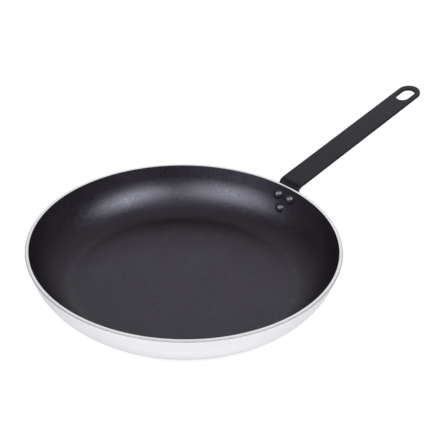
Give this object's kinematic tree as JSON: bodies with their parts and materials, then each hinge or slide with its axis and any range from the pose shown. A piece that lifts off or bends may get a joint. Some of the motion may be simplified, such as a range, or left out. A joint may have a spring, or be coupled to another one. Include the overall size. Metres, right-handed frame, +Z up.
{
  "type": "omelette pan",
  "caption": "Shallow round aluminium frying pan with curved sides, a black non-stick lining and a long flat black steel handle, riveted on, with a hanging slot.",
  "frame": {"origin": "centre of the underside of the base, on the surface the pan stands on", "axes": "+X along the handle, from the pan's centre to the handle's tip; +Z up, out of the open pan; the pan is symmetric about the XZ plane"},
  "size_m": [0.5125, 0.3, 0.0857],
  "materials": {
    "pan_body": "satin",
    "nonstick_coating": "satin",
    "handle": "matte",
    "rivets": "satin"
  },
  "bodies": {
    "root": {"pan_body": "pan_body", "nonstick_coating": "nonstick_coating", "handle": "handle", "rivet_left": "rivets", "rivet_right": "rivets", "rivet_lower": "rivets"}
  },
  "joints": []
}
